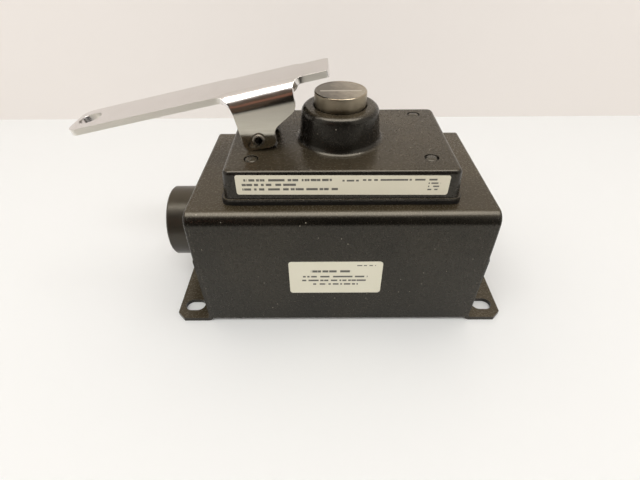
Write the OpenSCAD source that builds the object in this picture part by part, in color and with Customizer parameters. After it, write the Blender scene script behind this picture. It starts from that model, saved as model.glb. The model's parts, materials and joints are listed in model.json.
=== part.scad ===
// Rope pull switch: a spring-returned push button on a sheet-steel box, worked by a rope lever.
// Frame: X along the box, Y away from the viewer, Z up; z = 0 is the mounting plane and the
// origin is the centre of the four mounting slots. Millimetres.

/* [Enclosure] */
// Length of the box over its two end panels
box_w = 156; // [130:1:200]
// Depth of the box, front panel to back panel
box_d = 97.2; // [84:0.1:120]
// Height of the box above the mounting plane
box_h = 77.2; // [64:0.1:96]
// Thickness of the sheet
sheet_t = 2.5; // [1.5:0.1:3.2]
// Outer radius of every bend in the sheet
bend_r = 4; // [3.5:0.5:6]
// Width of each mounting flange beyond its end panel
flange_w = 20.1; // [16:0.1:28]
// Leg of the cut corners of a flange
flange_cut = 4.6; // [1:0.1:8]
// Distance of a mounting slot from the face of the end panel
slot_out = 10.9; // [9:0.1:14]
// Distance of a mounting slot from the front or back face of the box
slot_in = 10.5; // [8:0.1:16]
// Width of a mounting slot
slot_w = 8.7; // [6:0.1:10]
// Length of a mounting slot, along the box
slot_l = 11.9; // [10:0.1:14]

/* [Conduit hub] */
// Outside diameter of the conduit hub
hub_d = 42.6; // [36:0.1:50]
// Length of the hub outside the end panel
hub_l = 23.4; // [12:0.1:32]
// Diameter of the hub's bore
hub_bore_d = 30; // [20:0.1:34]
// Height of the hub's axis
hub_z = 40.5; // [34:0.1:45]
// Leg of the weld around the hub
hub_weld = 2.5; // [1:0.1:4]

/* [Cover] */
// Length of the cover
cover_l = 116.3; // [108:0.1:142]
// Depth of the cover
cover_d = 75.6; // [72:0.1:92]
// Height of the cover above its gasket
cover_h = 16.8; // [14:0.1:22]
// Thickness of the gasket
gasket_t = 3; // [1:0.1:5]
// How far the gasket shows past each end of the cover
gasket_out = 1.1; // [0:0.1:2]
// How far the gasket sits back from the cover's front and back faces
gasket_back = 0.6; // [0:0.1:2]
// Thickness of the cover's side walls
cover_wall = 3; // [2:0.1:5]
// Thickness of the cover's top
cover_roof = 4; // [3:0.1:5]
// Distance of a cover screw from the end of the cover
screw_in_x = 12.85; // [9:0.05:14]
// Distance of the front screws from the cover's front face
screw_in_front = 13.2; // [9:0.05:14]
// Distance of the back screws from the cover's back face
screw_in_back = 9.1; // [7.5:0.05:14]
// Diameter of a cover screw
screw_d = 4.2; // [3:0.1:5]
// Diameter of the head of a cover screw
screw_head_d = 6.7; // [5.6:0.1:8.4]

/* [Button] */
// Diameter of the button
button_d = 27; // [22:0.1:32.5]
// How far the button stands above its collar
button_proud = 7.5; // [6.6:0.1:10]
// Height of the collar above the cover
collar_h = 17.9; // [14:0.1:24]
// Outside diameter of the collar near its top
collar_d = 40.8; // [38:0.1:50]
// Radius of the rounding on the collar's top edge
collar_round = 3.5; // [1:0.1:4]
// Radius of the fillet at the collar's foot
collar_fillet = 3; // [1:0.1:5]
// Travel of the button
stroke = 6; // [3:0.1:6.2]
// Diameter of the stem under the button
stem_d = 8; // [6:0.1:9]
// Wire of the return spring
spring_wire = 1.3; // [0.8:0.1:1.8]

/* [Lever] */
// Tilt of the lever at rest, rope end down
lever_tilt = 12.04; // [8:0.01:16]
// Thickness of the lever's plate
lever_t = 3.2; // [2:0.1:4]
// Width of the arm
arm_w = 25.4; // [20:0.1:32]
// Distance of the rope eye from the pivot, along the arm
eye_reach = 88.1; // [60:0.1:130]
// Diameter of the rope eye
eye_d = 12.5; // [8:0.1:14]
// Material left beyond the centre of the eye
eye_end = 8.6; // [8:0.1:14]
// Width over the two ears
ears_w = 33.8; // [30:0.1:41]
// Outer radius of the bends between plate and ears
ear_bend_r = 5; // [4:0.1:8]
// Height of the plate's top face above the pivot, square to the plate
lever_rise = 23.6; // [20:0.1:30]
// Width of the tongue over the button
tongue_w = 19.8; // [14:0.1:24]
// Reach of the tongue past the pivot
tongue_reach = 40.8; // [36:0.1:46]
// Distance of the pivot from the button's axis
pivot_back = 41.5; // [38:0.1:48]
// Height of the pivot above the cover
pivot_up = 6.5; // [5:0.1:10]
// Diameter of the pivot pin
pin_d = 6.35; // [4:0.05:8]
// How far the pin stands out of each ear
pin_proud = 1.6; // [1:0.1:5]

/* [Contact block] */
// Length of the block's housing
block_w = 44; // [38:0.5:46]
// Depth of the block's housing
block_d = 24; // [18:0.5:32]
// Height of the block's housing
block_h = 30; // [28:0.5:34]
// Distance of each standoff from the button's axis
standoff_x = 27; // [26:0.5:30]

/* [Hidden] */
$fn = 64;
// clearances
run_gap = 0.05;     // round sliding fits, on the radius
pivot_gap = 0.06;   // ears on the pin, on the radius
part_gap = 0.3;     // between pieces that move past each other
screw_gap = 0.2;    // clearance holes, on the radius

// enclosure
half_w = box_w / 2;
half_d = box_d / 2;
inner_r = bend_r - sheet_t;
slot_x = half_w + slot_out;
slot_y = half_d - slot_in;
hub_spigot_r = hub_bore_d / 2 + 2.5;

// cover stack
cover_z = box_h + gasket_t;
top_z = cover_z + cover_h;
roof_z = top_z - cover_roof;
cover_r = 3.5;
cover_edge = 2;
lip_t = 1.3;
lip_out = 0.8;
screw_x = cover_l / 2 - screw_in_x;
screw_ys = [-cover_d / 2 + screw_in_front, cover_d / 2 - screw_in_back];
boss_r = 5.2;
boss_web = 7;
head_h = 2.9;
head_sink = 3;
head_dome = 0.5;
head_slot = 0.35;
open_w = 2 * (screw_x - 7.3);
open_d = 44;
open_r = 4;

// collar, well and button
bore_r = button_d / 2 + 0.5;
collar_z = top_z + collar_h;
collar_foot = collar_d / 2 + 1.1;
well_r = bore_r + 4;
well_z = top_z - 12.8;
well_floor = 4;
floor_z = well_z + well_floor;
bush_r = stem_d / 2 + 2.5;
bush_flange_r = bush_r + 3;
bush_flange_t = 1.5;
seal_z = collar_z - 5.9;
seal_h = 3;
seal_r = bore_r + 2.2;
button_z = collar_z + button_proud;
button_h = 18;
button_cup_r = button_d / 2 - 3.5;
button_crown = 8;
button_rim = 0.45;
cup_z = button_z - button_crown;
stem_top = cup_z + 4.8;
washer_t = 1;
washer_r = bush_r + 2.5;
washer_z = well_z - part_gap - washer_t;
ring_t = 1;
ring_groove_r = stem_d / 2 - 0.8;
pad_t = 3;
pad_r = 6;
pad_spigot_r = 2.5;
pad_spigot_l = 2;
stem_z = top_z - 19.5;
pad_z = stem_z - pad_t;
spring_r = button_cup_r - 2;
spring_turns = 7;

// lever
pivot_x = -pivot_back;
pivot_z = top_z + pivot_up;
ear_out = ears_w / 2;
ear_in = ear_out - lever_t;
plate_lo = lever_rise - lever_t;
ear_back = -8.6;
ear_front = 22.9;
ear_lean = 0.6;
ear_foot = -5.2;
ear_blend = 7;
notch_r = 4;
tip_r = 6;
tongue_tip_r = 1.8;
pin_r = pin_d / 2;
pin_l = ears_w + 2 * pin_proud;
pin_bore_r = 2;
pin_slit = 1;
pin_chamfer = 0.5;
cheek_r = 6.5;
cheek_out = ear_in - part_gap;
cheek_t = 7;
cheek_foot = 8;

// contact block, measured from its housing's top
block_z = pad_z - part_gap - stroke - 4.2;
flange_t = 4;
flange_lx = standoff_x + 6;
flange_dy = 16;
base_z = block_z - block_h;
wall_x = block_w / 2 - 7;
floor_t = 4;
cavity_d = 15;
guide = 9;
carrier_w = guide - 2 * part_gap;
carrier_foot = base_z + 16;
bridge_t = 1.2;
bridge_l = 22;
bridge_w = 5;
nc_bridge_z = block_z - 4.4;
no_bridge_z = block_z - 12.2;
tip_h = 0.5;
tip_x = 9;
contact_tip_r = 1.6;
strip_t = 1.2;
strip_in = 7;
nc_strip_z = nc_bridge_z + bridge_t + part_gap + 2 * tip_h;
no_strip_z = no_bridge_z - stroke - part_gap - 2 * tip_h - strip_t;
tab_l = 9;
terminal_r = 1.5;
terminal_head_r = 3;
terminal_head = 2.5;
plate_t = 1.5;
peg_r = 1.2;
carrier_wire = 0.8;
carrier_spring_r = 3.2;
carrier_turns = 6;
standoff_af = 8;
standoff_boss_r = 6.2;
standoff_top = roof_z - 5;
stud_r = 2;
stud_l = 6;
block_screw_r = 1.5;
block_screw_l = 12;

// ground stud
ground_in = 26;
ground_x = half_w - ground_in;
ground_z = 20;
ground_r = 2.4;
ground_l = 14;
ground_nut_af = 9.5;
ground_nut_t = 3.4;

// labels
label_t = 0.2;
label_cover = [cover_l - 12, cover_h - 5.8, 1.2];
label_cover_lean = 0.45;
label_box = [50.8, 23.8, 1.8];
label_box_at = [-2.6, 36.6];

// ---- shared shapes ----

function arc(cx, cy, r, a0, a1, n = 8) =
    [for (i = [0:n]) let (a = a0 + (a1 - a0) * i / n) [cx + r * cos(a), cy + r * sin(a)]];

// centred rectangle with round corners
module rrect(w, d, r) {
    square([w - 2 * r, d], center = true);
    square([w, d - 2 * r], center = true);
    for (x = [-1, 1], y = [-1, 1])
        translate([x * (w / 2 - r), y * (d / 2 - r)]) circle(r);
}

// rectangle standing on y = 0 with its two upper corners round
module arch(w, h, r) {
    translate([-w / 2, 0]) square([w, h - r]);
    translate([r - w / 2, 0]) square([w - 2 * r, h]);
    for (x = [-1, 1]) translate([x * (w / 2 - r), h - r]) circle(r);
}

// slot along x
module slot2d(l, w) {
    square([l - w, w], center = true);
    for (x = [-1, 1]) translate([x * (l - w) / 2, 0]) circle(w / 2);
}

// a 2D shape drawn in x and z, run along y between two places
module along_y(y0, y1) translate([0, y1, 0]) rotate([90, 0, 0]) linear_extrude(y1 - y0) children();

// a 2D shape drawn in y and z, run along x between two places
module along_x(x0, x1) translate([x0, 0, 0]) rotate([90, 0, 90]) linear_extrude(x1 - x0) children();

module cyl(r, z0, z1) translate([0, 0, z0]) cylinder(r = r, h = z1 - z0);

// slab with round upright edges and a rounded top edge
module soft_slab(w, d, h, r, edge) {
    along_x(r - w / 2, w / 2 - r) arch(d, h, edge);
    along_y(r - d / 2, d / 2 - r) arch(w, h, edge);
    for (x = [-1, 1], y = [-1, 1])
        translate([x * (w / 2 - r), y * (d / 2 - r), 0])
            rotate_extrude() {
                square([r, h - edge]);
                square([r - edge, h]);
                intersection() {
                    translate([r - edge, h - edge]) circle(edge);
                    square([r, h]);
                }
            }
}

module at_screws() for (x = [-screw_x, screw_x], y = screw_ys) translate([x, y, 0]) children();

// coil spring between two heights, its end turns closed
module coil(r, wire, turns, z0, z1, steps, sides) {
    closed = 1.04 * wire;
    open = (z1 - z0 - wire - 2 * closed) / (turns - 2);
    n = turns * steps;
    rings = [for (i = [0:n]) let (t = i / steps, a = 360 * t,
        z = z0 + wire / 2 + closed * min(t, 1) + open * max(0, min(t - 1, turns - 2))
            + closed * max(0, t - turns + 1))
        for (j = [0:sides - 1]) let (b = 360 * j / sides - 90, q = r + wire / 2 * cos(b))
            [q * cos(a), q * sin(a), z + wire / 2 * sin(b)]];
    skin = [for (i = [0:n - 1], j = [0:sides - 1])
        let (p = i * sides + j, q = i * sides + (j + 1) % sides)
            each [[p, q + sides, q], [p, p + sides, q + sides]]];
    polyhedron(rings, concat(skin, [[for (j = [0:sides - 1]) j]],
        [[for (j = [sides - 1:-1:0]) n * sides + j]]), convexity = 8);
}

// ---- enclosure ----

module enclosure_shell() color("#26241f") difference() {
    along_x(sheet_t - half_w, half_w - sheet_t) difference() {
        arch(box_d, box_h, bend_r);
        arch(box_d - 2 * sheet_t, box_h - sheet_t, inner_r);
        translate([-half_d - 1, -1]) square([box_d + 2, 1 + sheet_t]);
    }
    translate([0, 0, box_h - 2 * sheet_t]) linear_extrude(3 * sheet_t) rrect(open_w, open_d, open_r);
    at_screws() cyl(screw_d / 2, box_h - 2 * sheet_t, box_h + 1);
}

// end panel bent outwards at its foot into a mounting flange
module end_panel() difference() {
    intersection() {
        along_y(-half_d, half_d) {
            translate([half_w - sheet_t, bend_r]) square([sheet_t, box_h - bend_r]);
            translate([half_w + inner_r, 0]) square([flange_w - inner_r, sheet_t]);
            translate([half_w + inner_r, bend_r]) difference() {
                circle(bend_r);
                circle(inner_r);
                translate([-bend_r - 1, 0]) square(2 * bend_r + 2);
                translate([0, -bend_r - 1]) square(2 * bend_r + 2);
            }
        }
        along_x(half_w - bend_r, half_w + flange_w + 1) arch(box_d, box_h, bend_r);
    }
    for (y = [-1, 1]) {
        translate([half_w + flange_w, y * half_d, -1]) rotate(45)
            translate([-flange_cut / sqrt(2), -flange_cut / sqrt(2), 0])
                cube([flange_cut * sqrt(2), flange_cut * sqrt(2), sheet_t + 2]);
        translate([slot_x, y * slot_y, -1]) linear_extrude(sheet_t + 2) slot2d(slot_l, slot_w);
    }
}

module right_end_panel() color("#26241f") end_panel();

module left_end_panel() color("#26241f") difference() {
    mirror([1, 0, 0]) end_panel();
    translate([-half_w - 1, 0, hub_z]) rotate([0, 90, 0]) cylinder(r = hub_spigot_r, h = sheet_t + 2);
}

module conduit_hub() color("#1d1c1a") translate([-half_w + sheet_t, 0, hub_z]) rotate([0, -90, 0])
    rotate_extrude() polygon(concat(
        [[hub_bore_d / 2, 0], [hub_spigot_r, 0], [hub_spigot_r, sheet_t],
         [hub_d / 2 + hub_weld, sheet_t]],
        arc(hub_d / 2 + hub_weld, sheet_t + hub_weld, hub_weld, 270, 180, 5),
        [[hub_d / 2, sheet_t + hub_l - 0.8], [hub_d / 2 - 0.8, sheet_t + hub_l],
         [hub_bore_d / 2, sheet_t + hub_l]]));

module ground_stud() color("#b9a25c") translate([ground_x, half_d - sheet_t, ground_z])
    rotate([90, 0, 0]) {
        cylinder(r = ground_r + 1.6, h = 1.2);
        cylinder(r = ground_r, h = ground_l);
    }

module ground_nut() color("#b9a25c")
    translate([ground_x, half_d - sheet_t - 2.4, ground_z]) rotate([90, 0, 0]) difference() {
        cylinder(d = ground_nut_af / cos(30), h = ground_nut_t, $fn = 6);
        translate([0, 0, -1]) cylinder(r = ground_r, h = ground_nut_t + 2);
    }

// ---- cover ----

module cover_gasket() color("#191816") translate([0, 0, box_h]) difference() {
    linear_extrude(gasket_t) difference() {
        rrect(cover_l + 2 * gasket_out, cover_d - 2 * gasket_back, cover_r + gasket_out);
        rrect(open_w, open_d, open_r);
    }
    at_screws() cyl(screw_d / 2 + screw_gap, -1, gasket_t + 1);
}

module cheek() {
    translate([pivot_x, pivot_z]) circle(cheek_r);
    translate([pivot_x, 0]) polygon([[-cheek_foot, top_z - 1], [cheek_foot, top_z - 1],
        [cheek_foot, top_z + 0.5], [cheek_r, top_z + 2.5], [cheek_r, pivot_z],
        [-cheek_r, pivot_z], [-cheek_r, top_z + 2.5], [-cheek_foot, top_z + 0.5]]);
}

module collar() rotate_extrude() polygon(concat(
    [[0, top_z - 1], [collar_foot + collar_fillet, top_z - 1],
     [collar_foot + collar_fillet, top_z]],
    arc(collar_foot + collar_fillet, top_z + collar_fillet, collar_fillet, 270, 180),
    arc(collar_d / 2 - collar_round, collar_z - collar_round, collar_round, 0, 90),
    [[0, collar_z]]));

module cover_inside() difference() {
    translate([0, 0, cover_z - 1]) linear_extrude(roof_z - cover_z + 1)
        rrect(cover_l - 2 * cover_wall, cover_d - 2 * cover_wall, cover_r - 1);
    at_screws() cyl(boss_r, cover_z, top_z);
    for (x = [-screw_x, screw_x], s = [0, 1])
        translate([x - boss_web / 2, [-cover_d / 2 + 1, screw_ys[1]][s], cover_z])
            cube([boss_web, [screw_in_front, screw_in_back][s] - 1, cover_h - 1]);
    cyl(well_r, well_z, top_z);
    for (x = [-standoff_x, standoff_x]) translate([x, 0, 0]) cyl(standoff_boss_r, standoff_top, top_z);
}

module cover() color("#161616") difference() {
    union() {
        translate([0, 0, cover_z]) soft_slab(cover_l, cover_d, cover_h, cover_r, cover_edge);
        translate([0, 0, cover_z]) linear_extrude(lip_t)
            rrect(cover_l + 2 * lip_out, cover_d + 2 * lip_out, cover_r + lip_out);
        collar();
        along_y(-cheek_out, cheek_t - cheek_out) cheek();
        along_y(cheek_out - cheek_t, cheek_out) cheek();
    }
    cover_inside();
    cyl(bore_r, floor_z, collar_z + 1);
    cyl(seal_r, seal_z, seal_z + seal_h);
    cyl(bush_r, well_z - 1, floor_z + 1);
    at_screws() {
        cyl(screw_d / 2 + screw_gap, cover_z - 1, top_z);
        cyl(screw_head_d / 2 + part_gap, top_z - head_sink, top_z + 1);
    }
    for (x = [-standoff_x, standoff_x])
        translate([x, 0, 0]) cyl(stud_r, standoff_top - 1, standoff_top + stud_l + 0.5);
    translate([pivot_x, 0, pivot_z]) rotate([90, 0, 0])
        cylinder(r = pin_r, h = ears_w, center = true);
}

module cover_screws() color("#2a2a2a") at_screws() difference() {
    rotate_extrude() polygon([[0, box_h - 2 * sheet_t], [screw_d / 2 - 0.6, box_h - 2 * sheet_t],
        [screw_d / 2, box_h - 2 * sheet_t + 0.6], [screw_d / 2, top_z - head_sink],
        [screw_head_d / 2, top_z - head_sink], for (k = [0:6])
            [screw_head_d / 2 * cos(15 * k), top_z - head_sink + head_h - head_dome * (1 - sin(15 * k))]]);
    translate([0, 0, top_z - head_sink + head_h])
        cube([0.9, screw_head_d + 2, 2 * head_slot], center = true);
}

module cover_label() color("#cdc8b4") translate([0.2, 0, cover_z + cover_h / 2 + 0.9])
    rotate([0, label_cover_lean, 0]) along_y(-cover_d / 2 - label_t, -cover_d / 2)
        rrect(label_cover[0], label_cover[1], label_cover[2]);

module enclosure_label() color("#cdc8b4") translate([label_box_at[0], 0, label_box_at[1]])
    along_y(-half_d - label_t, -half_d) rrect(label_box[0], label_box[1], label_box[2]);

// ---- lever ----

module at_pivot() translate([pivot_x, 0, pivot_z]) children();

module pivot_pin() color("#4b463f") at_pivot() rotate([90, 0, 0]) difference() {
    rotate_extrude() polygon([[pin_bore_r, -pin_l / 2], [pin_r - pin_chamfer, -pin_l / 2],
        [pin_r, pin_chamfer - pin_l / 2], [pin_r, pin_l / 2 - pin_chamfer],
        [pin_r - pin_chamfer, pin_l / 2], [pin_bore_r, pin_l / 2]]);
    translate([-pin_slit / 2, -pin_r - 1, -pin_l / 2 - 1]) cube([pin_slit, pin_r + 1, pin_l + 2]);
}

// ear seen from the side, pivot at the origin, with the blends into arm and tongue
module ear_side() polygon(concat(
    arc(ear_back + 3.5, ear_foot + 3.5, 3.5, 180, 270, 6),
    arc(4.4, ear_foot + 4, 4, 270, 360, 6),
    arc(14.4, -0.3, 6, 180, 117.2, 6),
    arc(ear_front - ear_lean - 5, plate_lo - 6.5, 5, -62.8, 0, 6),
    arc(ear_front + notch_r, plate_lo - notch_r, notch_r, 180, 90, 6),
    [[ear_front + notch_r, lever_rise + 1], [ear_back - ear_blend, lever_rise + 1]],
    arc(ear_back - ear_blend, plate_lo - ear_blend, ear_blend, 90, 0)));

// half of the ears' outline seen from above
module ear_plan() polygon(concat(
    [[ear_back - ear_blend, 0]],
    arc(ear_back - ear_blend, arm_w / 2 + ear_blend, ear_blend, 270, 350),
    [[ear_front, ear_out + 1]],
    arc(ear_front + notch_r, tongue_w / 2 + notch_r, notch_r, 180, 270, 6),
    [[ear_front + notch_r, 0]]));

// half of the flat plate's outline seen from above
module plate_plan() polygon(concat(
    [[-eye_reach - eye_end, 0]],
    arc(-eye_reach - eye_end + tip_r, arm_w / 2 - tip_r, tip_r, 180, 90),
    [[ear_back - ear_blend, arm_w / 2], [ear_back + 2, ear_out - ear_bend_r],
     [ear_front, tongue_w / 2]],
    arc(tongue_reach - tongue_tip_r, tongue_w / 2 - tongue_tip_r, tongue_tip_r, 90, 0, 5),
    [[tongue_reach, 0]]));

module both_sides() { children(); mirror([0, 1]) children(); }

module lever() color("#b9b6bc") at_pivot() rotate([0, -lever_tilt, 0]) difference() {
    union() {
        translate([0, 0, plate_lo]) linear_extrude(lever_t) both_sides() plate_plan();
        intersection() {
            translate([0, 0, -10]) along_x(ear_back - ear_blend, ear_front + notch_r) difference() {
                arch(ears_w, lever_rise + 10, ear_bend_r);
                arch(ears_w - 2 * lever_t, plate_lo + 10, ear_bend_r - lever_t);
            }
            along_y(-ears_w, ears_w) ear_side();
            translate([0, 0, -10]) linear_extrude(lever_rise + 12) both_sides() ear_plan();
        }
    }
    rotate([90, 0, 0]) cylinder(r = pin_r + pivot_gap, h = 2 * ears_w, center = true);
    translate([-eye_reach, 0, plate_lo - 1]) cylinder(d = eye_d, h = lever_t + 2);
}

// ---- button and plunger ----

module button() color("#8f8c80") rotate_extrude() polygon([
    [0, stem_top], [stem_d / 2, stem_top], [stem_d / 2, cup_z], [button_cup_r, cup_z],
    [button_cup_r, button_z - button_h], [button_d / 2 - 0.5, button_z - button_h],
    [button_d / 2, button_z - button_h + 0.5], [button_d / 2, button_z - button_rim],
    [button_d / 2 - button_rim, button_z], [0, button_z]]);

module button_seal() color("#141414") rotate_extrude() polygon([
    [button_d / 2 + run_gap + 0.03, seal_z + 1], [bore_r, seal_z], [seal_r, seal_z],
    [seal_r, seal_z + seal_h], [bore_r, seal_z + seal_h],
    [button_d / 2 + run_gap + 0.03, seal_z + seal_h - 1]]);

module plunger_stem() color("#a8a8a4") rotate_extrude() polygon([
    [0, stem_z - pad_spigot_l], [pad_spigot_r, stem_z - pad_spigot_l], [pad_spigot_r, stem_z],
    [stem_d / 2, stem_z], [stem_d / 2, washer_z - ring_t], [ring_groove_r, washer_z - ring_t],
    [ring_groove_r, washer_z], [stem_d / 2, washer_z], [stem_d / 2, stem_top], [0, stem_top]]);

module guide_bushing() color("#b08d57") difference() {
    union() {
        cyl(bush_r, well_z, floor_z + 0.5);
        cyl(bush_flange_r, floor_z, floor_z + bush_flange_t);
    }
    cyl(stem_d / 2 + run_gap, well_z - 1, floor_z + bush_flange_t + 1);
}

module return_spring() color("#9a9a9a")
    coil(spring_r, spring_wire, spring_turns, floor_z + bush_flange_t, cup_z, 26, 10);

module stop_washer() color("#8d8d88") difference() {
    cyl(washer_r, washer_z, washer_z + washer_t);
    cyl(stem_d / 2, washer_z - 1, washer_z + washer_t + 1);
}

module retaining_ring() color("#3b3b3b") difference() {
    cyl(stem_d / 2 + 1.6, washer_z - ring_t, washer_z);
    cyl(ring_groove_r, washer_z - ring_t - 1, washer_z + 1);
    translate([0, -2, washer_z - ring_t - 1]) cube([stem_d, 4, ring_t + 2]);
}

module actuator_pad() color("#7a2f24") difference() {
    cyl(pad_r, pad_z, stem_z);
    cyl(pad_spigot_r, stem_z - pad_spigot_l, stem_z + 1);
}

// ---- contact block ----

module block_standoffs() color("#b6b7b9") for (x = [-standoff_x, standoff_x]) translate([x, 0, 0])
    difference() {
        union() {
            translate([0, 0, block_z + flange_t])
                cylinder(d = standoff_af / cos(30), h = standoff_top - block_z - flange_t, $fn = 6);
            cyl(stud_r, standoff_top - 1, standoff_top + stud_l);
        }
        cyl(block_screw_r, block_z + flange_t - 1, block_z + block_screw_l + 1);
    }

module contact_block() color("#20201f") difference() {
    union() {
        translate([-block_w / 2, -block_d / 2, base_z]) cube([block_w, block_d, block_h]);
        translate([-flange_lx, -flange_dy / 2, block_z]) cube([2 * flange_lx, flange_dy, flange_t]);
        for (x = [-1, 1], z = [base_z + 3, block_z - 3])
            translate([x * (block_w / 2 - 3), -block_d / 2, z]) rotate([90, 0, 0])
                cylinder(r = peg_r, h = plate_t + 0.4);
    }
    translate([-wall_x, -block_d / 2 - 1, base_z + floor_t])
        cube([2 * wall_x, block_d / 2 + 1 + cavity_d / 2, block_h - floor_t]);
    translate([-guide / 2, -guide / 2, block_z - 1]) cube([guide, guide, flange_t + 2]);
    for (z = [nc_strip_z, no_strip_z])
        translate([-block_w / 2 - 1, -bridge_w / 2, z]) cube([block_w + 2, bridge_w, strip_t]);
    for (s = [-1, 1]) {
        translate([s * standoff_x, 0, 0])
            cyl(block_screw_r + screw_gap, block_z - 1, block_z + flange_t + 1);
        for (z = [nc_strip_z, no_strip_z])
            translate([s * block_w / 2, 0, z - tab_l / 2]) rotate([0, 90, 0])
                cylinder(r = terminal_r, h = 10, center = true);
    }
}

module block_front_plate() color("#6f6a58") difference() {
    translate([-block_w / 2, -block_d / 2 - plate_t, base_z]) cube([block_w, plate_t, block_h]);
    for (x = [-1, 1], z = [base_z + 3, block_z - 3])
        translate([x * (block_w / 2 - 3), -block_d / 2 + 1, z]) rotate([90, 0, 0])
            cylinder(r = peg_r, h = plate_t + 2);
}

module contact_carrier() color("#c9bfa4") difference() {
    translate([-carrier_w / 2, -carrier_w / 2, carrier_foot])
        cube([carrier_w, carrier_w, pad_z - carrier_foot]);
    for (z = [nc_bridge_z, no_bridge_z])
        translate([-carrier_w, -bridge_w / 2, z]) cube([2 * carrier_w, bridge_w, bridge_t]);
}

module contact_bridges() color("#b87b4a") for (z = [nc_bridge_z, no_bridge_z], s = [-1, 1]) {
    translate([-bridge_l / 2, -bridge_w / 2, z]) cube([bridge_l, bridge_w, bridge_t]);
    translate([s * tip_x, 0, z == nc_bridge_z ? z + bridge_t - 0.1 : z - tip_h])
        cylinder(r = contact_tip_r, h = tip_h + 0.1);
}

module fixed_contacts() color("#b87b4a") for (z = [nc_strip_z, no_strip_z], s = [0, 1])
    mirror([s, 0, 0]) difference() {
        union() {
            translate([strip_in, -bridge_w / 2, z])
                cube([block_w / 2 + strip_t - strip_in, bridge_w, strip_t]);
            translate([block_w / 2, -bridge_w / 2, z + strip_t - tab_l])
                cube([strip_t, bridge_w, tab_l]);
            translate([tip_x, 0, z == nc_strip_z ? z - tip_h : z + strip_t - 0.1])
                cylinder(r = contact_tip_r, h = tip_h + 0.1);
        }
        translate([block_w / 2, 0, z - tab_l / 2]) rotate([0, 90, 0])
            cylinder(r = terminal_r, h = 10, center = true);
    }

module terminal_screws() color("#b5b09a") for (z = [nc_strip_z, no_strip_z], s = [0, 1])
    mirror([s, 0, 0]) translate([block_w / 2 + strip_t, 0, z - tab_l / 2]) rotate([0, 90, 0])
        difference() {
            union() {
                translate([0, 0, -strip_t - 4]) cylinder(r = terminal_r, h = strip_t + 5);
                cylinder(r = terminal_head_r, h = terminal_head);
            }
            translate([0, 0, terminal_head]) cube([0.9, 2 * terminal_head_r + 2, 2], center = true);
        }

module carrier_spring() color("#9a9a9a")
    coil(carrier_spring_r, carrier_wire, carrier_turns, base_z + floor_t, carrier_foot, 20, 8);

module block_screws() color("#9c9c98") for (x = [-standoff_x, standoff_x]) translate([x, 0, 0])
    difference() {
        union() {
            cyl(block_screw_r, block_z - 1, block_z + block_screw_l);
            cyl(2.8, block_z - 2.2, block_z);
        }
        translate([0, 0, block_z - 2.2]) cube([0.9, 8, 2], center = true);
    }

enclosure_shell();
left_end_panel();
right_end_panel();
conduit_hub();
cover_gasket();
cover();
cover_screws();
cover_label();
enclosure_label();
pivot_pin();
lever();
button();
button_seal();
plunger_stem();
guide_bushing();
return_spring();
stop_washer();
retaining_ring();
actuator_pad();
block_standoffs();
contact_block();
block_front_plate();
contact_carrier();
contact_bridges();
fixed_contacts();
terminal_screws();
carrier_spring();
block_screws();
ground_stud();
ground_nut();
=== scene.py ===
# %% [markdown]
# # Rope pull switch
#
# This lesson gives one part its real look: a rope pull switch, made of a black sheet-steel box, a
# cast cover with a push button, and a bright steel lever. A rope pulls the lever's eye away from
# the box, and the tongue at the lever's other end then pushes the button down. The exact model
# arrives as a fixed frame of thirty named nodes. Blender keeps each node's size and place, gives
# each one a finish of its own, and rebuilds those whose surface needs more than a solid modeller
# gives: the lever, the threaded hub, the button, the springs, the box and the cover.

# %% Load the frame
import json
import math
import bmesh
import bpy
from mathutils import Matrix, Vector

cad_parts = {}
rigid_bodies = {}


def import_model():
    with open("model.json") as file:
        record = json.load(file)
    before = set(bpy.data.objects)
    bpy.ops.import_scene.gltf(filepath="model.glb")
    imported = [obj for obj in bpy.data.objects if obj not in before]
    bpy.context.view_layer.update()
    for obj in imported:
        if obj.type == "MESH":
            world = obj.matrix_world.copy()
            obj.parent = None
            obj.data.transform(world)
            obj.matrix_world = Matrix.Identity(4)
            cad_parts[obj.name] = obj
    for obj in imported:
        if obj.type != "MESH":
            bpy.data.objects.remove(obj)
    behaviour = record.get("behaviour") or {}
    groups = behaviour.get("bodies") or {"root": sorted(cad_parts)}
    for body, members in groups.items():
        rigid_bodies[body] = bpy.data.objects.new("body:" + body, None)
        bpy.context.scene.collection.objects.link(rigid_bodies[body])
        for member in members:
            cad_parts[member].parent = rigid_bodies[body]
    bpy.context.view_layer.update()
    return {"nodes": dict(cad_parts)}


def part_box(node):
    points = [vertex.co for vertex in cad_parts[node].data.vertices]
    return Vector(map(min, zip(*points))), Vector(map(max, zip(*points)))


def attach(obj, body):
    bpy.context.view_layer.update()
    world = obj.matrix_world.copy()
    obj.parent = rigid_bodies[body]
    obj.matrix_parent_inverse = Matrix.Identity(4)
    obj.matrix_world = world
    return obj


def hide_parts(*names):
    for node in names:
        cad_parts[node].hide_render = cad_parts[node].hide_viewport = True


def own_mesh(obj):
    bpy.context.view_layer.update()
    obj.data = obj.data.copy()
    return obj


for leftover in list(bpy.data.objects):
    bpy.data.objects.remove(leftover)
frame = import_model()
scene = bpy.context.scene
MM = 0.001

# %% [markdown]
# The camera stands a little left of the middle and looks down at the switch. A camera can be aimed
# with angles or with three directions. Three directions are used here: forward, right and up make
# the columns of its matrix, so the small roll of a hand-held camera is one more turn about forward.

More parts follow.
